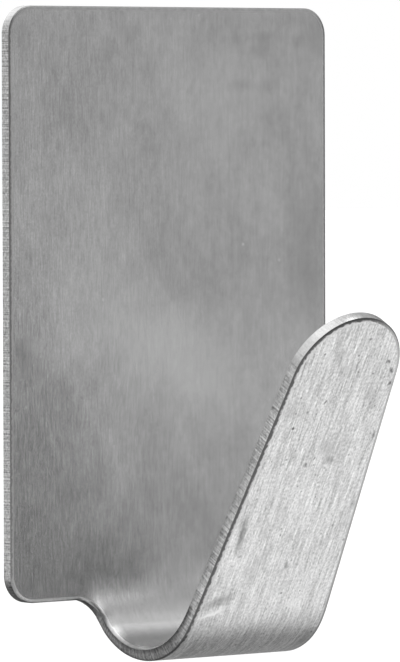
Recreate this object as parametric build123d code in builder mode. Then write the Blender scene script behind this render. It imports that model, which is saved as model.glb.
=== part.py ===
from build123d import *

import os
from math import asin, atan2, cos, degrees, hypot, radians, sin, tan

# Adhesive wall hook: one blank of brushed stainless sheet, bent forward and up into a J,
# with a die-cut pad of foam tape on the back of its plate.
# Millimetres. +Z is up, the front faces -Y, and the origin is the middle of the tape's wall side.

# Backplate
plate_width = 50.0
plate_height = 72.0
corner_radius = 3.4
sheet = 1.5

# Tongue: its root between the plate's two shoulders, the bend, and the blade that rises in front
root_width = 23.6
root_fillet = 3.0
bend_radius = 8.0  # inside the bend
bend_rise = 2.4  # the bend starts this far above the shoulders
blade_angle = 28.3  # between the blade and the plate
blade_length = 33.8  # from the end of the bend to the centre of the round tip
tip_radius = 8.1
bend_stations = 9  # sections that the narrowing bend is lofted through

# Foam tape
tape_thickness = 1.0
tape_margin = 3.0  # bare steel left around the tape
tape_corner_radius = 2.0

os.makedirs("parts", exist_ok=True)

# Side view of the bend: its axis runs along X, and its angles count from the plate, forward and up
plate_front = -tape_thickness - sheet
shoulder_height = -plate_height / 2
axis_y = plate_front - bend_radius
axis_z = shoulder_height + bend_rise
middle_radius = bend_radius + sheet / 2
bend_angle = 180 - blade_angle

# Flat pattern of the tongue: straight sides from the ends of the root fillets, tangent to the
# round tip. Lengths along the sheet are measured on its middle surface.
root_half = root_width / 2
shoulder_start = root_half + root_fillet
root_angle = degrees(asin((bend_rise + root_fillet) / bend_radius))
bend_run = middle_radius * radians(bend_angle - root_angle)
taper_run = bend_run + blade_length
taper = atan2(root_half, taper_run) - asin(tip_radius / hypot(root_half, taper_run))
blade_half = root_half - bend_run * tan(taper)


def across_sheet(angle):
    """Plane square to the sheet at an angle of the bend, with its X across the tongue."""
    turn = radians(angle)
    middle = (0, axis_y + middle_radius * cos(turn), axis_z - middle_radius * sin(turn))
    return Plane(origin=middle, x_dir=(1, 0, 0), z_dir=(0, -sin(turn), -cos(turn)))


def root_band():
    """Side view of the sheet from the start of the bend to the end of the root fillets."""
    inside = CenterArc((axis_y, axis_z), bend_radius, 0, -root_angle)
    outside = CenterArc((axis_y, axis_z), bend_radius + sheet, 0, -root_angle)
    Line(inside @ 0, outside @ 0)
    Line(inside @ 1, outside @ 1)


with BuildPart() as steel_hook:
    # Backplate, open between the shoulders where the bend takes over
    with BuildSketch(Plane.XZ.offset(tape_thickness)):
        RectangleRounded(plate_width, plate_height, corner_radius)
        with Locations((0, shoulder_height)):
            Rectangle(2 * shoulder_start, bend_rise, align=(Align.CENTER, Align.MIN), mode=Mode.SUBTRACT)
    extrude(amount=sheet)

    # Root of the tongue
    with BuildSketch(Plane.YZ):
        with BuildLine():
            root_band()
        make_face()
    extrude(amount=root_half, both=True)

    # Sheet beside the root, drawn from the flat shoulder into the curve of the bend
    for side in (-1, 1):
        with BuildSketch(Plane.YZ.offset(side * root_half)):
            with BuildLine():
                root_band()
            make_face()
        with BuildSketch(Plane.YZ.offset(side * shoulder_start)):
            with Locations((plate_front, axis_z)):
                Rectangle(sheet, bend_rise + root_fillet, align=(Align.MIN, Align.MAX))
        loft(ruled=True)

    # Round-topped notches that leave the fillets between the shoulders and the tongue
    with BuildSketch(Plane.XZ):
        for side in (-1, 1):
            with Locations((side * shoulder_start, shoulder_height - root_fillet)):
                Circle(root_fillet)
                Rectangle(2 * root_fillet, sheet, align=(Align.CENTER, Align.MAX))
    extrude(amount=-axis_y, mode=Mode.SUBTRACT)

    # Rest of the bend, narrowing along the sheet
    for station in range(bend_stations):
        share = station / (bend_stations - 1)
        station_half = root_half + (blade_half - root_half) * share
        with BuildSketch(across_sheet(root_angle + (bend_angle - root_angle) * share)):
            Rectangle(2 * station_half, sheet)
    loft()

    # Blade with its full round tip
    bend_end = across_sheet(bend_angle)
    side_end = Vector(tip_radius * cos(taper), blade_length + tip_radius * sin(taper))
    with BuildSketch(Plane(bend_end.origin, x_dir=(1, 0, 0), z_dir=-bend_end.y_dir)):
        with BuildLine():
            Line((-blade_half, 0), (blade_half, 0))
            Line((blade_half, 0), side_end)
            ThreePointArc(side_end, (0, blade_length + tip_radius), (-side_end.X, side_end.Y))
            Line((-side_end.X, side_end.Y), (-blade_half, 0))
        make_face()
    extrude(amount=sheet / 2, both=True)

steel_hook.part.label = "steel_hook"
export_step(steel_hook.part, "parts/steel_hook.step")

with BuildPart() as foam_tape:
    with BuildSketch(Plane.XZ):
        RectangleRounded(plate_width - 2 * tape_margin, plate_height - 2 * tape_margin, tape_corner_radius)
    extrude(amount=tape_thickness)

foam_tape.part.label = "foam_tape"
export_step(foam_tape.part, "parts/foam_tape.step")
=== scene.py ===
import math

import bmesh
import bpy
from mathutils import Matrix, Vector


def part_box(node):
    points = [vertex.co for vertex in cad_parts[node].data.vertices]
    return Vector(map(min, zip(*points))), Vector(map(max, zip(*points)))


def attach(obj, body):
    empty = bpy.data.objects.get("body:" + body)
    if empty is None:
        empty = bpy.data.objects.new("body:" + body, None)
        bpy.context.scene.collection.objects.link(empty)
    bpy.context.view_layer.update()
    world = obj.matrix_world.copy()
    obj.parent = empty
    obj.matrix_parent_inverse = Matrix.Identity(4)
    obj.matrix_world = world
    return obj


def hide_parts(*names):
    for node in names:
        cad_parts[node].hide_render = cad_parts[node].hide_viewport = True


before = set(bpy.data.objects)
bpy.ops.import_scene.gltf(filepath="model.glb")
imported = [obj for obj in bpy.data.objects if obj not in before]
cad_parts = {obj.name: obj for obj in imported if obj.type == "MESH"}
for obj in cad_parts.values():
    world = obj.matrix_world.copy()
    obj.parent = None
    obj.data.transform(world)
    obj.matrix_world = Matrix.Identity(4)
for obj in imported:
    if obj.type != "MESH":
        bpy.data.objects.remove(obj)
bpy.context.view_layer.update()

# Steel hook: one blank of 1.5 mm stainless sheet, brushed along its length, sheared to its outline in a
# press and folded forward and up round a bar. It is drawn flat, as it leaves the press, and folded after.
mm = 0.001
sheet = 1.5 * mm
corner_radius = 3.4 * mm
root_half = 11.8 * mm
root_fillet = 3.0 * mm
bend_radius = 8.0 * mm
bend_rise = 2.4 * mm
blade_angle = math.radians(28.3)
blade_length = 33.8 * mm
tip_radius = 8.1 * mm
bend_ease = 4.0 * mm  # the sheet curls in and out of the bend over this length
bend_bulge = 0.2 * mm  # the bend squeezes its inside out at the sides by this much
edge_roll, edge_roll_depth = 0.45 * mm, 0.11 * mm  # shearing rolls the edges over a little on both faces
curl_reach, curl_depth = 1.6 * mm, 0.22 * mm  # the inside of the bend falls away beside its edges

hook_low, hook_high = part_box("steel_hook")
half_width = hook_high.x
plate_top = hook_high.z
shoulder = -plate_top
middle_y = hook_high.y - sheet / 2
plate_front = hook_high.y - sheet
shoulder_start = root_half + root_fillet
middle_radius = bend_radius + sheet / 2

# Runs along the tongue are measured on the middle of the sheet from the start of the bend. On the flat blank
# its sides go straight from the root to a tangent of the round tip.
bend_run = middle_radius * (math.pi - blade_angle)
root_run = middle_radius * math.asin((bend_rise + root_fillet) / bend_radius)
tip_centre_run = bend_run + blade_length
taper = math.atan2(root_half, tip_centre_run - root_run) - math.asin(
    tip_radius / math.hypot(root_half, tip_centre_run - root_run)
)
bend_start = shoulder + bend_rise
bend_end = bend_start - bend_run
tip_centre = bend_start - tip_centre_run
blank_end = tip_centre - tip_radius


def pick(kind, chosen):
    """Selects the verts, edges or faces in edit mode whose middle passes the test."""
    bpy.ops.mesh.select_all(action="DESELECT")
    bpy.ops.mesh.select_mode(type={"verts": "VERT", "edges": "EDGE", "faces": "FACE"}[kind])
    work = bmesh.from_edit_mesh(bpy.context.object.data)
    for part in getattr(work, kind):
        corners = [part] if kind == "verts" else part.verts
        part.select_set(chosen(sum((v.co for v in corners), Vector()) / len(corners)))
    bmesh.update_edit_mesh(bpy.context.object.data)


def cut(place, normal):
    """Cuts every face in edit mode along a plane."""
    bpy.ops.mesh.select_all(action="SELECT")
    bpy.ops.mesh.bisect(plane_co=place, plane_no=normal, threshold=0.001 * mm)


corner_steps, fillet_steps, tip_steps = 14, 12, 24
bpy.ops.object.select_all(action="DESELECT")
bpy.ops.mesh.primitive_plane_add(size=2, location=(0, middle_y, 0), rotation=(math.pi / 2, 0, 0))
hook = bpy.context.object
hook.name = hook.data.name = "folded_sheet"
hook.scale = (half_width, plate_top, 1)
bpy.ops.object.transform_apply(location=True, rotation=True, scale=True)
bpy.ops.object.mode_set(mode="EDIT")
pick("verts", lambda middle: True)
bpy.ops.mesh.bevel(offset=corner_radius, segments=corner_steps, affect="VERTICES")

# The tongue grows out of the lower edge between the shoulders, station by station. Each has a half width and
# a run: the steps round the fillets, the root, and the steps round the tip.
stations = [(shoulder_start, bend_rise)]
for step in range(1, fillet_steps + 1):
    turn = math.radians(90) * step / fillet_steps
    drop = bend_rise + root_fillet * (1 - math.cos(turn))
    curled = middle_radius * math.asin(drop / middle_radius)
    stations.append((shoulder_start - root_fillet * math.sin(turn), drop + (curled - drop) * math.sin(turn)))
stations.append((root_half, root_run))
for step in range(tip_steps):
    turn = taper + (math.radians(90) - taper) * step / tip_steps
    stations.append((tip_radius * math.cos(turn), tip_centre_run + tip_radius * math.sin(turn)))

at_place = 0.1 * mm
for side in (-1, 1):
    cut((side * shoulder_start, 0, 0), (1, 0, 0))
pick("edges", lambda middle: abs(middle.x) < at_place and abs(middle.z - shoulder) < at_place)
for (half, run), (next_half, next_run) in zip(stations, stations[1:]):
    bpy.ops.mesh.extrude_region_move(TRANSFORM_OT_translate={"value": (0, 0, run - next_run)})
    bpy.ops.transform.resize(value=(next_half / half, 1, 1))
last_run = stations[-1][1]
bpy.ops.mesh.extrude_region_move(
    TRANSFORM_OT_translate={"value": (0, 0, last_run - tip_centre_run - tip_radius)}
)
bpy.ops.mesh.merge(type="CENTER")

# Shearing rolls the edges over, so narrow rims are inset along the outline, and wider ones for the curl of
# the bend. Their vertex weight says how far in they lie.
bpy.ops.mesh.select_all(action="SELECT")
bpy.ops.mesh.dissolve_limited(angle_limit=math.radians(1))
hook.vertex_groups.new(name="reach")
roll_steps, curl_steps = 3, 4
rings = [edge_roll * step / roll_steps for step in range(roll_steps)]
rings += [edge_roll + (curl_reach - edge_roll) * step / curl_steps for step in range(curl_steps + 1)]
for number, reach in enumerate(rings):
    if number:
        bpy.ops.mesh.inset(thickness=reach - rings[number - 1])
    bpy.context.tool_settings.vertex_group_weight = reach / curl_reach
    bpy.ops.object.vertex_group_assign()

# Rows of faces through the bend and columns beside the root, so that the sheet can curve there
bend_rows, draw_columns = 84, 8
for row in range(bend_rows + 1):
    cut((0, 0, bend_start + bend_ease / 2 - (bend_run + bend_ease) * row / bend_rows), (0, 0, 1))
for column in range(draw_columns):
    for side in (-1, 1):
        cut((side * (root_half + root_fillet * (column - 0.5) / draw_columns), 0, 0), (1, 0, 0))
sliver = 0.03 * mm
bpy.ops.mesh.select_all(action="SELECT")
bpy.ops.mesh.remove_doubles(threshold=sliver)
bpy.ops.object.mode_set(mode="OBJECT")

# The blank's own flat coordinates stay on it as a UV map, in metres, so that the brushing follows the fold.
blank_map = hook.data.uv_layers.new(name="blank")
for loop in hook.data.loops:
    place = hook.data.vertices[loop.vertex_index].co
    blank_map.data[loop.index].uv = (place.x, place.z)


def eased(run):
    """A length that starts from nothing and grows to its full rate over the easing stretch."""
    if abs(run) < bend_ease / 2:
        return (run + bend_ease / 2) ** 2 / (2 * bend_ease)
    return max(run, 0)


# Side view of the folded sheet's middle, walked in short steps from above the bend to past the tip
walk_step = 0.05 * mm
walk = [Vector((0, middle_y, bend_start + bend_ease / 2))]
while len(walk) * walk_step < bend_ease + tip_centre_run + tip_radius:
    run = (len(walk) - 0.5) * walk_step - bend_ease / 2
    turn = (eased(run) - eased(run - bend_run)) / middle_radius
    walk.append(walk[-1] + walk_step * Vector((0, -math.sin(turn), -math.cos(turn))))


def drawn_share(place):
    """How much of the bend a point of the flat blank takes part in: all on the tongue, none beside it."""
    share = min(max((shoulder_start - abs(place.x)) / root_fillet, 0), 1)
    return share * share * (3 - 2 * share)


def folded(place):
    """Where a point of the flat blank lies once the tongue is bent and the sheet beside it drawn along."""
    steps = (walk[0].z - place.z) / walk_step
    if steps <= 0:
        return place
    bent = walk[int(steps)].lerp(walk[int(steps) + 1], steps % 1)
    bent.x = place.x
    return place.lerp(bent, drawn_share(place))


blank_places = [vertex.co.copy() for vertex in hook.data.vertices]
reaches = [curl_reach * sum(group.weight for group in vertex.groups) for vertex in hook.data.vertices]
for vertex in hook.data.vertices:
    vertex.co = folded(vertex.co)

wall = hook.modifiers.new("wall", "SOLIDIFY")
wall.thickness = sheet
wall.offset = 0
wall.use_even_offset = True
wall.use_quality_normals = True
bpy.ops.object.modifier_apply(modifier=wall.name)

# Each point of the blank is now a pair, front and back. The edges are rolled down on both faces. In the
# bend the front, its inside, is squeezed out at the sides and falls away there, and the back is drawn in.
points = hook.data.vertices
for number, (place, reach) in enumerate(zip(blank_places, reaches)):
    front, back = points[number], points[number + len(blank_places)]
    through = (back.co - front.co).normalized()
    rolled = edge_roll_depth * max(1 - reach / edge_roll, 0) ** 2
    in_bend = drawn_share(place) * math.sin(math.pi * min(max((bend_start - place.z) / bend_run, 0), 1))
    near_side = 1 - reach / curl_reach
    front.co += through * (rolled - curl_depth * in_bend * (1 - near_side**2))
    back.co -= through * rolled
    bulge = bend_bulge * in_bend * near_side
    front.co.x += math.copysign(bulge, place.x)
    back.co.x -= math.copysign(bulge, place.x)

# Each face takes its finish from its side of the sheet and from how near the outline it lies. The distance
# from the outline stays on the points as well, for the ragged dark lines along the rims, which are painted
# dark reflection, on the back partly a real drag.
hook.data.attributes.new("inward", "FLOAT", "POINT").data.foreach_set("value", reaches * 2)
front_face, back_face, front_rim, back_rim, cut_edge = range(5)
# The back's rim is wider on the left to carry its ragged line, partly a painted dark reflection.
drag_and_painted_reflection_reach = rings[roll_steps + 1]  # the back's rim is wider on the left, where the punch dragged it
rounding = 1.001  # vertex weights come back a little rounded
for face in hook.data.polygons:
    blank_numbers = [number % len(blank_places) for number in face.vertices]
    on_front = [number < len(blank_places) for number in face.vertices]
    reach = max(reaches[number] for number in blank_numbers)
    left_half = sum(blank_places[number].x for number in blank_numbers) < 0
    if all(on_front):
        face.material_index = front_rim if reach < rounding * edge_roll else front_face
    elif any(on_front):
        face.material_index = cut_edge
    else:
        rim_reach = drag_and_painted_reflection_reach if left_half else edge_roll
        face.material_index = back_rim if reach < rounding * rim_reach else back_face

shading = hook.modifiers.new("shading", "WEIGHTED_NORMAL")
shading.keep_sharp = True
bpy.ops.object.shade_smooth()
bpy.ops.object.modifier_apply(modifier=shading.name)


def linear(hex_colour):
    """Linear RGBA of an sRGB hex colour."""
    parts = [int(hex_colour[i : i + 2], 16) / 255 for i in (1, 3, 5)]
    return [c / 12.92 if c <= 0.04045 else ((c + 0.055) / 1.055) ** 2.4 for c in parts] + [1.0]


def node(tree, kind, inputs=None, **settings):
    """Adds a node; settings set its properties, and inputs give its sockets a value or another socket."""
    made = tree.nodes.new(kind)
    for name, value in settings.items():
        setattr(made, name, value)
    for name, value in (inputs or {}).items():
        if isinstance(value, bpy.types.NodeSocket):
            tree.links.new(value, made.inputs[name])
        else:
            made.inputs[name].default_value = value
    return made


def new_material(name):
    """A material and its empty node tree."""
    material = bpy.data.materials.new(name)
    material.use_nodes = True
    material.node_tree.nodes.clear()
    return material, material.node_tree


def blank_coordinates(tree):
    """Places on the flat blank, and how far across and along it they lie."""
    flat = node(tree, "ShaderNodeUVMap", uv_map="blank").outputs["UV"]
    axes = node(tree, "ShaderNodeSeparateXYZ", {0: flat}).outputs
    return flat, axes["X"], axes["Y"]


def brushing(tree, flat, layers):
    """Noise drawn out along the sheet, added up from layers: width and length in mm, detail, weight."""
    tone = 0.0
    for width, length, detail, weight in layers:
        stretched = node(
            tree, "ShaderNodeMapping", {"Vector": flat, "Scale": (1 / (width * mm), 1 / (length * mm), 1)}
        ).outputs[0]
        lines = node(
            tree, "ShaderNodeTexNoise", {"Vector": stretched, "Scale": 1.0, "Detail": detail}
        ).outputs["Fac"]
        tone = node(
            tree, "ShaderNodeMath", {0: lines, 1: weight, 2: tone}, operation="MULTIPLY_ADD"
        ).outputs[0]
    return tone


def mark_distance(tree, flat, x, z, turn, length, width):
    """How far out a place lies in an oval mark, nought in its middle and one at its rim. Sizes are in mm."""
    inside = node(
        tree,
        "ShaderNodeMapping",
        {
            "Vector": flat,
            "Location": (x * mm, z * mm, 0),
            "Rotation": (0, 0, math.radians(turn)),
            "Scale": (length * mm, width * mm, 1),
        },
        vector_type="TEXTURE",
    ).outputs[0]
    return node(tree, "ShaderNodeVectorMath", {0: inside}, operation="LENGTH").outputs["Value"]


# Brushed stainless steel, the face that shows on the wall: a fine belt leaves short straight lines along the
# sheet, which spread each reflection sideways. They are deepest on the left and towards the foot. The real
# lines are finer than a pixel of the render, so they are drawn a little coarser.
brushed, tree = new_material("brushed_stainless_face")
flat, across, along = blank_coordinates(tree)
tone = brushing(
    tree,
    flat,
    (
        (0.16, 3.0, 2.0, 0.1),
        (0.22, 0.3, 2.0, 0.08),
        (0.5, 8.0, 2.0, 0.1),
        (0.9, 1.3, 2.0, 0.15),
        (2.5, 4.0, 3.0, 0.21),
        (14.0, 18.0, 2.0, 0.38),
    ),
)
score_layers = ((0.2, 2.2, 2.0, 0.8), (0.24, 0.34, 2.0, 0.6))
score_middle = sum(weight for *_, weight in score_layers) / 2  # noise lies about one half
scores = brushing(tree, flat, score_layers)
scored = node(tree, "ShaderNodeMath", {0: scores, 1: score_middle}, operation="SUBTRACT").outputs[0]
left_share = node(
    tree,
    "ShaderNodeMapRange",
    {"Value": across, "From Min": -21 * mm, "From Max": 11 * mm, "To Min": 0.5, "To Max": 0.0},
).outputs[0]
foot_share = node(
    tree,
    "ShaderNodeMapRange",
    {"Value": along, "From Min": plate_top, "From Max": shoulder, "To Min": 0.85, "To Max": 1.3},
).outputs[0]
depth = node(tree, "ShaderNodeMath", {0: left_share, 1: foot_share}, operation="MULTIPLY").outputs[0]
tone = node(tree, "ShaderNodeMath", {0: scored, 1: depth, 2: tone}, operation="MULTIPLY_ADD").outputs[0]
shade = node(tree, "ShaderNodeMapRange", {"Value": tone, "From Min": 0.305, "From Max": 0.705}).outputs[0]
colour = node(
    tree, "ShaderNodeMix", {0: shade, 6: linear("#a6a6a6"), 7: linear("#e2e2e2")}, data_type="RGBA"
).outputs[2]

# Soft light and dark patches are painted on the face: the long light band across it and the larger patches
# are painted reflection and painted shade, and the small dark spots are darker marks. Columns: place on the
# blank in mm, turn, half length and half width in mm, share in the middle and tint.
for x, z, turn, length, width, share, tint in (
    (-1, -6, -27, 28, 9, 0.36, "#f4f4f4"),
    (11, 26, 10, 15, 8, 0.2, "#f4f4f4"),
    (-17, -6, 0, 8, 5, 0.2, "#f4f4f4"),
    (22, 4, 90, 14, 6, 0.4, "#8a8a8a"),
    (25, 34, 90, 10, 6, 0.35, "#8a8a8a"),
    (-23, -31, 60, 10, 7, 0.15, "#8a8a8a"),
    (4, -26, 0, 14, 8, 0.15, "#8a8a8a"),
    (15, 32.5, 0, 2.4, 1.2, 0.27, "#8a8a8a"),
    (10.5, 32, 0, 1.8, 1.4, 0.2, "#8a8a8a"),
    (20.5, 32, 0, 1.4, 1.4, 0.23, "#8a8a8a"),
    (14.5, 30.8, 0, 2.2, 1.6, 0.2, "#8a8a8a"),
    (11.5, 26.5, 0, 2.4, 1.2, 0.22, "#8a8a8a"),
    (15.5, 26.2, 0, 3, 1.4, 0.2, "#8a8a8a"),
    (-23, 32, 90, 3.4, 1.8, 0.25, "#8a8a8a"),
    (-23, -6.5, 90, 3.8, 2.2, 0.35, "#8a8a8a"),
):
    painted_light_patch = node(
        tree,
        "ShaderNodeMapRange",
        {
            "Value": mark_distance(tree, flat, x, z, turn, length, width),
            "To Min": share,
            "To Max": 0.0,
        },
        interpolation_type="SMOOTHSTEP",
    ).outputs[0]
    colour = node(tree, "ShaderNodeMix", {0: painted_light_patch, 6: colour, 7: linear(tint)}, data_type="RGBA").outputs[2]

# The inside of the bend is greyer over its start, the blade's inside is lighter, and small bright specks lie
# all over the face.
grey_run, light_run = 4 * mm, 12 * mm
greyer_bend_start = node(
    tree,
    "ShaderNodeMapRange",
    {"Value": along, "From Min": bend_start, "From Max": bend_start - grey_run, "To Max": 0.6},
    interpolation_type="SMOOTHSTEP",
).outputs[0]
lighter_blade_inside = node(
    tree,
    "ShaderNodeMapRange",
    {"Value": along, "From Min": bend_end, "From Max": bend_end - light_run, "To Max": 0.7},
    interpolation_type="SMOOTHSTEP",
).outputs[0]
speck_spacing = 6 * mm
from_speck = node(
    tree, "ShaderNodeTexVoronoi", {"Vector": flat, "Scale": 1 / speck_spacing}
).outputs["Distance"]
speck = node(
    tree,
    "ShaderNodeMapRange",
    {"Value": from_speck, "From Min": 0.02, "From Max": 0.05, "To Min": 0.5, "To Max": 0.0},
).outputs[0]
for share, tint in ((greyer_bend_start, "#c4c4c4"), (lighter_blade_inside, "#f4f4f4"), (speck, "#f4f4f4")):
    colour = node(tree, "ShaderNodeMix", {0: share, 6: colour, 7: linear(tint)}, data_type="RGBA").outputs[2]
rough = node(tree, "ShaderNodeMapRange", {"Value": shade, "To Min": 0.235, "To Max": 0.255}).outputs[0]
relief = node(tree, "ShaderNodeBump", {"Height": tone, "Strength": 0.1, "Distance": 0.01 * mm}).outputs[0]
shader = node(
    tree,
    "ShaderNodeBsdfPrincipled",
    {
        "Base Color": colour,
        "Metallic": 1.0,
        "Roughness": rough,
        "Anisotropic": 0.9,
        "Normal": relief,
        "Tangent": node(tree, "ShaderNodeTangent", direction_type="UV_MAP", uv_map="blank").outputs[0],
    },
).outputs[0]
node(tree, "ShaderNodeOutputMaterial", {"Surface": shader})

# Milled stainless steel, the sheet's back, which faces out on the tongue: a coarser belt finish that the
# press has scratched and smeared, with small dark pits, and a painted reflection that makes it a little
# brighter towards the bend.
milled, tree = new_material("milled_stainless_back")
flat, _, along = blank_coordinates(tree)
tone = brushing(tree, flat, ((0.18, 2.0, 3.0, 0.35), (0.4, 7.0, 2.0, 0.31), (0.28, 0.34, 2.0, 0.34)))
# Painted reflection: the tone is raised a little towards the bend.
painted_reflection_ramp = node(
    tree,
    "ShaderNodeMapRange",
    {"Value": along, "From Min": tip_centre, "From Max": bend_end, "To Min": -0.02, "To Max": 0.05},
).outputs[0]
tone_and_painted_reflection = node(tree, "ShaderNodeMath", {0: tone, 1: painted_reflection_ramp}, operation="ADD").outputs[0]
shade = node(tree, "ShaderNodeMapRange", {"Value": tone_and_painted_reflection, "From Min": 0.34, "From Max": 0.66}).outputs[0]
colour = node(
    tree, "ShaderNodeMix", {0: shade, 6: linear("#949494"), 7: linear("#ffffff")}, data_type="RGBA"
).outputs[2]
smear_size = 6 * mm
smears = node(
    tree, "ShaderNodeTexNoise", {"Vector": flat, "Scale": 1 / smear_size, "Detail": 5.0, "Roughness": 0.65}
).outputs["Fac"]
smeared = node(
    tree, "ShaderNodeMapRange", {"Value": smears, "From Min": 0.54, "From Max": 0.66, "To Max": 0.45}
).outputs[0]
colour = node(
    tree, "ShaderNodeMix", {0: smeared, 6: colour, 7: linear("#a2a2a2")}, data_type="RGBA"
).outputs[2]
for pit_spacing, pit_radius, depth in ((1.1, 0.18, 0.8), (2.6, 0.28, 1.0)):
    pits = node(tree, "ShaderNodeTexVoronoi", {"Vector": flat, "Scale": 1 / (pit_spacing * mm)}).outputs
    pitted = node(
        tree,
        "ShaderNodeMapRange",
        {
            "Value": pits["Distance"],
            "From Min": 0.4 * pit_radius / pit_spacing,
            "From Max": pit_radius / pit_spacing,
            "To Min": depth,
            "To Max": 0.0,
        },
    ).outputs[0]
    pit_share = node(tree, "ShaderNodeSeparateXYZ", {0: pits["Color"]}).outputs["X"]
    pitted = node(tree, "ShaderNodeMath", {0: pitted, 1: pit_share}, operation="MULTIPLY").outputs[0]
    colour = node(
        tree, "ShaderNodeMix", {0: pitted, 6: colour, 7: linear("#585858")}, data_type="RGBA"
    ).outputs[2]

# Larger scuffs and pits lie on it one by one, with ragged outlines: place on the blank in mm, turn, half
# length and half width in mm, share in the middle and tint.
ragged_reach = 0.8 * mm
wander = node(
    tree, "ShaderNodeTexNoise", {"Vector": flat, "Scale": 1 / ragged_reach, "Detail": 3.0}
).outputs["Color"]
wandering = node(
    tree, "ShaderNodeVectorMath", {0: wander, 1: [ragged_reach] * 3, 2: flat}, operation="MULTIPLY_ADD"
).outputs[0]
drift = ragged_reach / 2 / mm  # the noise moves every place by about this much
for x, z, turn, length, width, share, tint in (
    (-7.5, -69.0, 88, 3.4, 0.7, 0.7, "#686868"),
    (-7.4, -59.7, -20, 3.0, 1.0, 0.5, "#707070"),
    (-7.9, -58.0, -20, 2.6, 0.4, 0.9, "#ffffff"),
    (1.3, -64.4, 80, 0.9, 0.35, 0.6, "#686868"),
    (2.5, -79.0, 20, 1.0, 0.7, 0.4, "#686868"),
    (-1.7, -87.2, -30, 0.5, 0.3, 0.8, "#585858"),
    (-1.4, -78.5, 60, 0.4, 0.28, 0.8, "#585858"),
    (7.9, -82.2, 90, 0.9, 0.3, 0.7, "#585858"),
    (6.0, -92.6, 40, 0.45, 0.3, 0.8, "#585858"),
    (7.1, -91.3, 70, 0.5, 0.35, 0.8, "#505050"),
    (7.5, -89.6, 90, 0.5, 0.3, 0.8, "#585858"),
    (1.4, -92.2, 100, 1.3, 0.18, 0.6, "#606060"),
):
    scuff = node(
        tree,
        "ShaderNodeMapRange",
        {
            "Value": mark_distance(tree, wandering, x + drift, z + drift, turn, length, width),
            "From Min": 0.3,
            "To Min": share,
            "To Max": 0.0,
        },
    ).outputs[0]
    colour = node(tree, "ShaderNodeMix", {0: scuff, 6: colour, 7: linear(tint)}, data_type="RGBA").outputs[2]
rough = node(
    tree,
    "ShaderNodeMapRange",
    {"Value": tone, "From Min": 0.3, "From Max": 0.7, "To Min": 0.3, "To Max": 0.42},
).outputs[0]
relief = node(tree, "ShaderNodeBump", {"Height": tone, "Strength": 0.33, "Distance": 0.02 * mm}).outputs[0]
shader = node(
    tree,
    "ShaderNodeBsdfPrincipled",
    {
        "Base Color": colour,
        "Metallic": 1.0,
        "Roughness": rough,
        "Anisotropic": 0.8,
        "Normal": relief,
        "Tangent": node(tree, "ShaderNodeTangent", direction_type="UV_MAP", uv_map="blank").outputs[0],
    },
).outputs[0]
node(tree, "ShaderNodeOutputMaterial", {"Surface": shader})


def ragged_line(tree, nicks, narrow, wide, fade_start, fade_end):
    """One in a line along the blank's outline, nought past it; nicks vary its width. Lengths are in mm."""
    line_width = node(
        tree,
        "ShaderNodeMapRange",
        {"Value": nicks, "From Min": 0.35, "From Max": 0.65, "To Min": narrow * mm, "To Max": wide * mm},
    ).outputs[0]
    inward = node(tree, "ShaderNodeAttribute", attribute_name="inward").outputs["Fac"]
    past_line = node(tree, "ShaderNodeMath", {0: inward, 1: line_width}, operation="SUBTRACT").outputs[0]
    return node(
        tree,
        "ShaderNodeMapRange",
        {
            "Value": past_line,
            "From Min": fade_start * mm,
            "From Max": fade_end * mm,
            "To Min": 1.0,
            "To Max": 0.0,
        },
    ).outputs[0]


# Smooth stainless steel, the rolled rim on the front: worn bright, duller along the top, with a ragged dark
# line painted down the plate's left side, round its lower corner and beside the root of the tongue, a
# painted dark reflection.
smooth_rim, tree = new_material("smooth_stainless_rim")
flat, across, along = blank_coordinates(tree)
nick_size = 0.5 * mm
nicks = node(
    tree, "ShaderNodeTexNoise", {"Vector": flat, "Scale": 1 / nick_size, "Detail": 2.0}
).outputs["Fac"]
worn = node(
    tree, "ShaderNodeMix", {0: nicks, 6: linear("#b4b4b4"), 7: linear("#ececec")}, data_type="RGBA"
).outputs[2]
topped = node(
    tree,
    "ShaderNodeMapRange",
    {
        "Value": along,
        "From Min": plate_top - corner_radius,
        "From Max": plate_top - edge_roll,
        "To Max": 0.4,
    },
).outputs[0]
worn = node(tree, "ShaderNodeMix", {0: topped, 6: worn, 7: linear("#808080")}, data_type="RGBA").outputs[2]
# The ragged dark line is a painted dark reflection in the base colour.
painted_dark_tint = node(
    tree, "ShaderNodeMix", {0: nicks, 6: linear("#606060"), 7: linear("#ababab")}, data_type="RGBA"
).outputs[2]
painted_dark_reflection = node(
    tree,
    "ShaderNodeMapRange",
    {
        "Value": across,
        "From Min": -half_width + 0.5 * mm,
        "From Max": -half_width + 1.2 * mm,
        "To Min": 1.0,
        "To Max": 0.0,
    },
    interpolation_type="SMOOTHSTEP",
).outputs[0]
lower_corner = (-half_width, shoulder, 0)
root_corner = (-shoulder_start + 0.7 * root_fillet, shoulder - 0.3 * root_fillet, 0)
for corner, full, none in (
    (lower_corner, 0.8 * corner_radius, 1.6 * corner_radius),
    (root_corner, 0.8 * root_fillet, 1.3 * root_fillet),
):
    away = node(tree, "ShaderNodeVectorMath", {0: flat, 1: corner}, operation="DISTANCE").outputs["Value"]
    painted_corner_reflection = node(
        tree,
        "ShaderNodeMapRange",
        {"Value": away, "From Min": full, "From Max": none, "To Min": 1.0, "To Max": 0.0},
    ).outputs[0]
    painted_dark_reflection = node(tree, "ShaderNodeMath", {0: painted_dark_reflection, 1: painted_corner_reflection}, operation="MAXIMUM").outputs[0]
in_line = ragged_line(tree, nicks, 0.16, 0.34, -0.1, 0.1)
painted_dark_reflection_line = node(tree, "ShaderNodeMath", {0: in_line, 1: painted_dark_reflection}, operation="MULTIPLY").outputs[0]
colour = node(tree, "ShaderNodeMix", {0: painted_dark_reflection_line, 6: worn, 7: painted_dark_tint}, data_type="RGBA").outputs[2]
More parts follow.
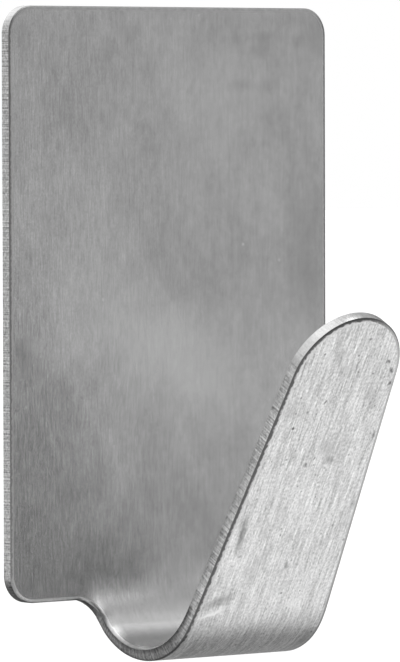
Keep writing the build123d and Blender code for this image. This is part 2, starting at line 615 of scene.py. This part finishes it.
shader = node(
    tree, "ShaderNodeBsdfPrincipled", {"Base Color": colour, "Metallic": 1.0, "Roughness": 0.3}
).outputs[0]
node(tree, "ShaderNodeOutputMaterial", {"Surface": shader})

# Dragged stainless steel, the rolled rim on the back: a ragged dark line runs along it on the left and fades
# round the tip. It is partly a real drag of the punch, which stood off centre, and partly a painted dark
# reflection.
dragged_rim_with_painted_reflection, tree = new_material("dragged_stainless_rim_with_painted_reflection")
flat, across, _ = blank_coordinates(tree)
nicks = node(
    tree, "ShaderNodeTexNoise", {"Vector": flat, "Scale": 1 / nick_size, "Detail": 3.0}
).outputs["Fac"]
worn = node(
    tree, "ShaderNodeMix", {0: nicks, 6: linear("#a8a8a8"), 7: linear("#f4f4f4")}, data_type="RGBA"
).outputs[2]
on_left = node(
    tree,
    "ShaderNodeMapRange",
    {"Value": across, "From Min": 0.0, "From Max": 0.8 * tip_radius, "To Min": 1.0, "To Max": 0.4},
    interpolation_type="SMOOTHSTEP",
).outputs[0]
# The ragged line on the left: partly a real drag, partly a painted dark reflection.
in_line = ragged_line(tree, nicks, 0.3, 0.56, -0.12, 0.08)
drag_and_painted_reflection = node(tree, "ShaderNodeMath", {0: in_line, 1: on_left}, operation="MULTIPLY").outputs[0]
colour = node(
    tree, "ShaderNodeMix", {0: drag_and_painted_reflection, 6: worn, 7: linear("#606060")}, data_type="RGBA"
).outputs[2]
shader = node(
    tree, "ShaderNodeBsdfPrincipled", {"Base Color": colour, "Metallic": 1.0, "Roughness": 0.4}
).outputs[0]
node(tree, "ShaderNodeOutputMaterial", {"Surface": shader})

# Sheared stainless steel, the edge of the sheet: the punch drags fine ridges across the thickness, five to a
# millimetre, and leaves the top corners and the tip smoother. These are painted bright, a painted highlight,
# and from the lower corners on through the bend the edge is painted dull and dark, a painted shade.
sheared, tree = new_material("sheared_stainless_edge")
flat, _, along = blank_coordinates(tree)
place = node(tree, "ShaderNodeTexCoord").outputs["Object"]
ridge_width = 0.2 * mm
ridges = node(
    tree, "ShaderNodeTexNoise", {"Vector": flat, "Scale": 1 / ridge_width, "Detail": 1.0}
).outputs["Fac"]
torn_size = 0.3 * mm
torn = node(
    tree, "ShaderNodeTexNoise", {"Vector": place, "Scale": 1 / torn_size, "Detail": 2.0}
).outputs["Fac"]
rough_cut = node(tree, "ShaderNodeMix", {0: 0.45, 2: ridges, 3: torn}).outputs[0]
shade = node(tree, "ShaderNodeMapRange", {"Value": rough_cut, "From Min": 0.34, "From Max": 0.66}).outputs[0]
ridged = node(
    tree, "ShaderNodeMix", {0: shade, 6: linear("#888888"), 7: linear("#ffffff")}, data_type="RGBA"
).outputs[2]
down_blank = node(
    tree, "ShaderNodeMapRange", {"Value": along, "From Min": plate_top, "From Max": blank_end}
).outputs[0]
ridges_and_painted_light = node(tree, "ShaderNodeValToRGB", {0: down_blank})
stops = ridges_and_painted_light.color_ramp.elements
stops.remove(stops[1])
stops[0].color = linear("#f8f8f8")[:3] + [0.2]

# Down the blank the edge changes its tint, painted highlight and painted shade, and how much of the ridges
# shows.
for height, tint, ridge_share in (
    (plate_top - 0.45 * corner_radius, "#f8f8f8", 0.2),
    (plate_top - 0.8 * corner_radius, "#f0f0f0", 1.0),
    (shoulder + corner_radius, "#e0e0e0", 1.0),
    (shoulder + 0.6 * corner_radius, "#606060", 1.0),
    (shoulder - 1.2 * mm, "#606060", 1.0),
    (shoulder - 3 * mm, "#8c8c8c", 1.0),
    (bend_end + 4 * mm, "#8c8c8c", 1.0),
    (bend_end - 4 * mm, "#f0f0f0", 1.0),
    (tip_centre - 0.5 * mm, "#f0f0f0", 1.0),
    (tip_centre - 4 * mm, "#f8f8f8", 0.2),
    (blank_end + 1.2 * mm, "#f8f8f8", 0.2),
    (blank_end + 0.4 * mm, "#d4d4d4", 0.4),
):
    stop = stops.new((plate_top - height) / (plate_top - blank_end))
    stop.color = linear(tint)[:3] + [ridge_share]
colour = node(
    tree,
    "ShaderNodeMix",
    {0: ridges_and_painted_light.outputs["Alpha"], 6: ridges_and_painted_light.outputs["Color"], 7: ridged},
    data_type="RGBA",
    blend_type="MULTIPLY",
).outputs[2]
rough = node(
    tree,
    "ShaderNodeMapRange",
    {"Value": ridges_and_painted_light.outputs["Alpha"], "From Min": 0.2, "To Min": 0.24, "To Max": 0.38},
).outputs[0]
relief = node(
    tree, "ShaderNodeBump", {"Height": rough_cut, "Strength": 0.5, "Distance": 0.04 * mm}
).outputs[0]
shader = node(
    tree,
    "ShaderNodeBsdfPrincipled",
    {"Base Color": colour, "Metallic": 1.0, "Roughness": rough, "Normal": relief},
).outputs[0]
node(tree, "ShaderNodeOutputMaterial", {"Surface": shader})

for material in (brushed, milled, smooth_rim, dragged_rim_with_painted_reflection, sheared):
    hook.data.materials.append(material)
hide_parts("steel_hook")
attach(hook, "root")

# Foam tape: a die-cut pad of white closed-cell foam with an adhesive skin on both sides, stuck to the back
# of the plate. Its cut edge is a little hollow and shows the open cells.
tape_low, tape_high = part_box("foam_tape")
tape_size = tape_high - tape_low
tape_corner = 2.0 * mm
edge_hollow = 0.1 * mm
skin_thickness = 0.08 * mm
cell_size = 0.45 * mm
corner_steps, side_cuts, edge_rows = 10, 140, 6
bpy.ops.object.select_all(action="DESELECT")
bpy.ops.mesh.primitive_cube_add(size=1, location=(tape_low + tape_high) / 2)
tape = bpy.context.object
tape.name = tape.data.name = "foam_pad"
tape.scale = tape_size
bpy.ops.object.transform_apply(location=True, rotation=True, scale=True)
bpy.ops.object.mode_set(mode="EDIT")
pick("edges", lambda middle: abs(middle.x) > mm and abs(middle.z) > mm)
bpy.ops.mesh.bevel(offset=tape_corner, segments=corner_steps, affect="EDGES")
pick("edges", lambda middle: min(abs(middle.x), abs(middle.z)) < at_place)
bpy.ops.mesh.subdivide(number_cuts=side_cuts)
for row in range(1, edge_rows):
    cut((0, tape_low.y + tape_size.y * row / edge_rows, 0), (0, 1, 0))


def between_skins(middle):
    """Whether a point of the tape lies in the foam between its two skins."""
    return tape_low.y + skin_thickness < middle.y < tape_high.y - skin_thickness


pick("verts", between_skins)
bpy.ops.object.vertex_group_assign_new()
bpy.ops.transform.resize(value=(1 - 2 * edge_hollow / tape_size.x, 1, 1 - 2 * edge_hollow / tape_size.z))
pick("faces", between_skins)
for face in bmesh.from_edit_mesh(tape.data).faces:
    face.material_index = 1 if face.select else 0
bpy.ops.object.mode_set(mode="OBJECT")

# The open cells on the cut edge are real dents, as small as the mesh there can hold.
cell_dents = bpy.data.textures.new("cell_dents", "VORONOI")
cell_dents.noise_scale = 2 * cell_size
dents = tape.modifiers.new("dents", "DISPLACE")
dents.texture = cell_dents
dents.vertex_group = tape.vertex_groups[0].name
dents.strength = 0.16 * mm
dents.mid_level = 0.4
bpy.ops.object.modifier_apply(modifier=dents.name)
bpy.ops.object.shade_smooth_by_angle(angle=math.radians(50))

# Acrylic adhesive skin: a smooth milky film, hazy in places, with fine bubbles where it was pressed on.
skin, tree = new_material("acrylic_adhesive_skin")
place = node(tree, "ShaderNodeTexCoord").outputs["Object"]
bubble_size = 1.6 * mm
bubbles = node(
    tree, "ShaderNodeTexVoronoi", {"Vector": place, "Scale": 1 / bubble_size, "Randomness": 1.0}
).outputs["Distance"]
pressed = node(
    tree,
    "ShaderNodeMapRange",
    {"Value": bubbles, "From Min": 0.12, "From Max": 0.3, "To Min": 1.0, "To Max": 0.0},
).outputs[0]
haze_size = 7 * mm
haze = node(
    tree, "ShaderNodeTexNoise", {"Vector": place, "Scale": 1 / haze_size, "Detail": 4.0, "Roughness": 0.6}
).outputs["Fac"]
shade = node(tree, "ShaderNodeMapRange", {"Value": haze, "From Min": 0.3, "From Max": 0.7}).outputs[0]
colour = node(
    tree, "ShaderNodeMix", {0: shade, 6: linear("#d6d4cb"), 7: linear("#e6e5de")}, data_type="RGBA"
).outputs[2]
gloss = node(tree, "ShaderNodeMapRange", {"Value": shade, "To Min": 0.28, "To Max": 0.45}).outputs[0]
relief = node(tree, "ShaderNodeBump", {"Height": pressed, "Strength": 0.4, "Distance": 0.05 * mm}).outputs[0]
shader = node(
    tree,
    "ShaderNodeBsdfPrincipled",
    {"Base Color": colour, "Roughness": gloss, "IOR": 1.47, "Normal": relief},
).outputs[0]
node(tree, "ShaderNodeOutputMaterial", {"Surface": shader})

# Closed-cell polyethylene foam, cut across: dull white walls with open cells between them, painted darker, a
# painted shade in their hollows.
foam, tree = new_material("closed_cell_foam")
place = node(tree, "ShaderNodeTexCoord").outputs["Object"]
cells = node(tree, "ShaderNodeTexVoronoi", {"Vector": place, "Scale": 1 / cell_size}).outputs["Distance"]
cell_hollow_and_painted_shade = node(tree, "ShaderNodeMapRange", {"Value": cells, "From Min": 0.15, "From Max": 0.6}).outputs[0]
colour = node(
    tree, "ShaderNodeMix", {0: cell_hollow_and_painted_shade, 6: linear("#b4b2a8"), 7: linear("#e4e2da")}, data_type="RGBA"
).outputs[2]
relief = node(
    tree, "ShaderNodeBump", {"Height": cell_hollow_and_painted_shade, "Strength": 0.6, "Distance": 0.1 * mm}
).outputs[0]
shader = node(
    tree, "ShaderNodeBsdfPrincipled", {"Base Color": colour, "Roughness": 0.85, "IOR": 1.5, "Normal": relief}
).outputs[0]
node(tree, "ShaderNodeOutputMaterial", {"Surface": shader})

for material in (skin, foam):
    tape.data.materials.append(material)
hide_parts("foam_tape")
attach(tape, "root")

# Studio: a white floor under the hook, a white room and one broad soft light overhead. The steel takes its
# tones from glowing cards that only reflections see: walls all round it, two on the floor and one overhead.
floor_size = 8.0
floor_gap = 30 * mm
floor_height = hook_low.z - floor_gap
card_height = floor_height + 1 * mm
wall_radius, wall_height, wall_sides = 500 * mm, 750 * mm, 96
shade_low, shade_high = 100 * mm, 250 * mm
overhead_height = 750 * mm
room_light = 0.58
light_direction = Vector((0.2, -0.1, -0.97))


def seen_rays(tree):
    """One for rays that show the surroundings, to the camera or in metal, nought for those that light."""
    path = node(tree, "ShaderNodeLightPath").outputs
    seen = path["Is Camera Ray"]
    for kind in ("Is Glossy Ray", "Is Transmission Ray"):
        seen = node(tree, "ShaderNodeMath", {0: seen, 1: path[kind]}, operation="MAXIMUM").outputs[0]
    return seen


bpy.ops.mesh.primitive_plane_add(size=floor_size, location=(0, 0, floor_height))
floor = bpy.context.object
floor.name = "floor"
matt_white, tree = new_material("matt_white_floor")
glow = node(tree, "ShaderNodeMath", {0: seen_rays(tree), 1: 0.2}, operation="MULTIPLY").outputs[0]
shader = node(
    tree,
    "ShaderNodeBsdfPrincipled",
    {
        "Base Color": linear("#f4f4f4"),
        "Roughness": 0.9,
        "Emission Color": linear("#ffffff"),
        "Emission Strength": glow,
    },
).outputs[0]
node(tree, "ShaderNodeOutputMaterial", {"Surface": shader})
floor.data.materials.append(matt_white)


def make_card(name, low_colour, high_colour, low, high, axis="Z", strength=1.0):
    """Makes the mesh just added a card that glows, shaded between two places along an axis."""
    card = bpy.context.object
    card.name = name
    bpy.ops.object.transform_apply(location=True, rotation=True, scale=True)
    paint, tree = new_material(name + "_paint")
    place = node(tree, "ShaderNodeTexCoord").outputs["Object"]
    level = node(tree, "ShaderNodeSeparateXYZ", {0: place}).outputs[axis]
    shade = node(tree, "ShaderNodeMapRange", {"Value": level, "From Min": low, "From Max": high}).outputs[0]
    colour = node(
        tree, "ShaderNodeMix", {0: shade, 6: linear(low_colour), 7: linear(high_colour)}, data_type="RGBA"
    ).outputs[2]
    shader = node(tree, "ShaderNodeEmission", {"Color": colour, "Strength": strength}).outputs[0]
    node(tree, "ShaderNodeOutputMaterial", {"Surface": shader})
    card.data.materials.append(paint)
    card.visible_camera = card.visible_diffuse = card.visible_shadow = False


# Walls: the colours of their foot and their head, and the angles between which each stands, in degrees from
# straight in front of the hook towards its right.
for name, low_colour, high_colour, first, last in (
    ("left_wall", "#929292", "#a8a8a8", -80, -5),
    ("front_wall", "#adadad", "#b4b4b4", -5, 34),
    ("bright_wall", "#e0e0e0", "#d0d0d0", 34, 54),
    ("right_wall", "#747474", "#f0f0f0", 54, 90),
    ("rear_right_wall", "#6f6f6f", "#cccccc", 90, 130),
    ("rear_wall", "#bbbbbb", "#ffffff", 130, 195),
    ("rear_left_wall", "#d3d3d3", "#e0e0e0", -165, -80),
):
    bpy.ops.mesh.primitive_cylinder_add(
        vertices=wall_sides,
        radius=wall_radius,
        depth=wall_height,
        end_fill_type="NOTHING",
        location=(0, 0, floor_height + wall_height / 2),
    )
    bpy.ops.object.mode_set(mode="EDIT")
    for angle, side in ((first, -1), (last, 1)):
        turn = math.radians(angle)
        outward = (side * math.cos(turn), side * math.sin(turn), 0)
        bpy.ops.mesh.select_all(action="SELECT")
        bpy.ops.mesh.bisect(plane_co=(0, 0, 0), plane_no=outward, clear_outer=True)
    bpy.ops.object.mode_set(mode="OBJECT")
    make_card(name, low_colour, high_colour, shade_low, shade_high)

# Flat cards: the colours at their front and back, where in mm the one goes over into the other, their middle
# and size in mm, their height and their strength.
for name, front_colour, back_colour, front_y, back_y, middle, size, height, strength in (
    ("floor_card", "#ffffff", "#909090", -40, -19, (50, 34), (140, 152), card_height, 1.0),
    ("far_floor_card", "#b0b0b0", "#b0b0b0", -600, -150, (300, -375), (600, 450), card_height, 1.0),
    ("overhead_card", "#ffffff", "#ffffff", -180, 100, (310, -40), (200, 280), overhead_height, 3.0),
):
    bpy.ops.mesh.primitive_plane_add(size=1, location=(middle[0] * mm, middle[1] * mm, height))
    bpy.context.object.scale = (size[0] * mm, size[1] * mm, 1)
    make_card(name, front_colour, back_colour, front_y * mm, back_y * mm, axis="Y", strength=strength)

sky = bpy.data.lights.new("soft_light", "SUN")
sky.energy = 1.4
sky.angle = math.radians(100)
lamp = bpy.data.objects.new("soft_light", sky)
bpy.context.collection.objects.link(lamp)
lamp.visible_glossy = False
lamp.rotation_euler = light_direction.to_track_quat("-Z", "Y").to_euler()

world = bpy.data.worlds.new("white_room")
bpy.context.scene.world = world
world.use_nodes = True
world.node_tree.nodes.clear()
tree = world.node_tree
strength = node(
    tree, "ShaderNodeMapRange", {"Value": seen_rays(tree), "To Min": room_light, "To Max": 1.0}
).outputs[0]
shader = node(tree, "ShaderNodeBackground", {"Color": linear("#ffffff"), "Strength": strength}).outputs[0]
node(tree, "ShaderNodeOutputWorld", {"Surface": shader})

# Camera: a long lens to the left of the hook and a little above it. Its focal length is in pixels of the
# photograph, whose longer side is its height.
photo_height = 662
focal_pixels = 6394.4
azimuth = math.radians(39.52)
elevation = math.radians(1.994)
roll = math.radians(-0.163)
distance = 786.8 * mm
target = Vector((4.581 * mm, plate_front, -3.789 * mm))
backward = Vector((
    -math.sin(azimuth) * math.cos(elevation),
    -math.cos(azimuth) * math.cos(elevation),
    math.sin(elevation),
))
camera_data = bpy.data.cameras.new("camera")
camera_data.sensor_width = 36
camera_data.lens = camera_data.sensor_width * focal_pixels / photo_height
camera = bpy.data.objects.new("camera", camera_data)
bpy.context.collection.objects.link(camera)
camera.location = target + backward * distance
turned = (-backward).to_track_quat("-Z", "Y").to_matrix().to_4x4() @ Matrix.Rotation(roll, 4, "Z")
camera.rotation_euler = turned.to_euler()
bpy.context.scene.camera = camera
bpy.context.scene.view_settings.view_transform = "Standard"
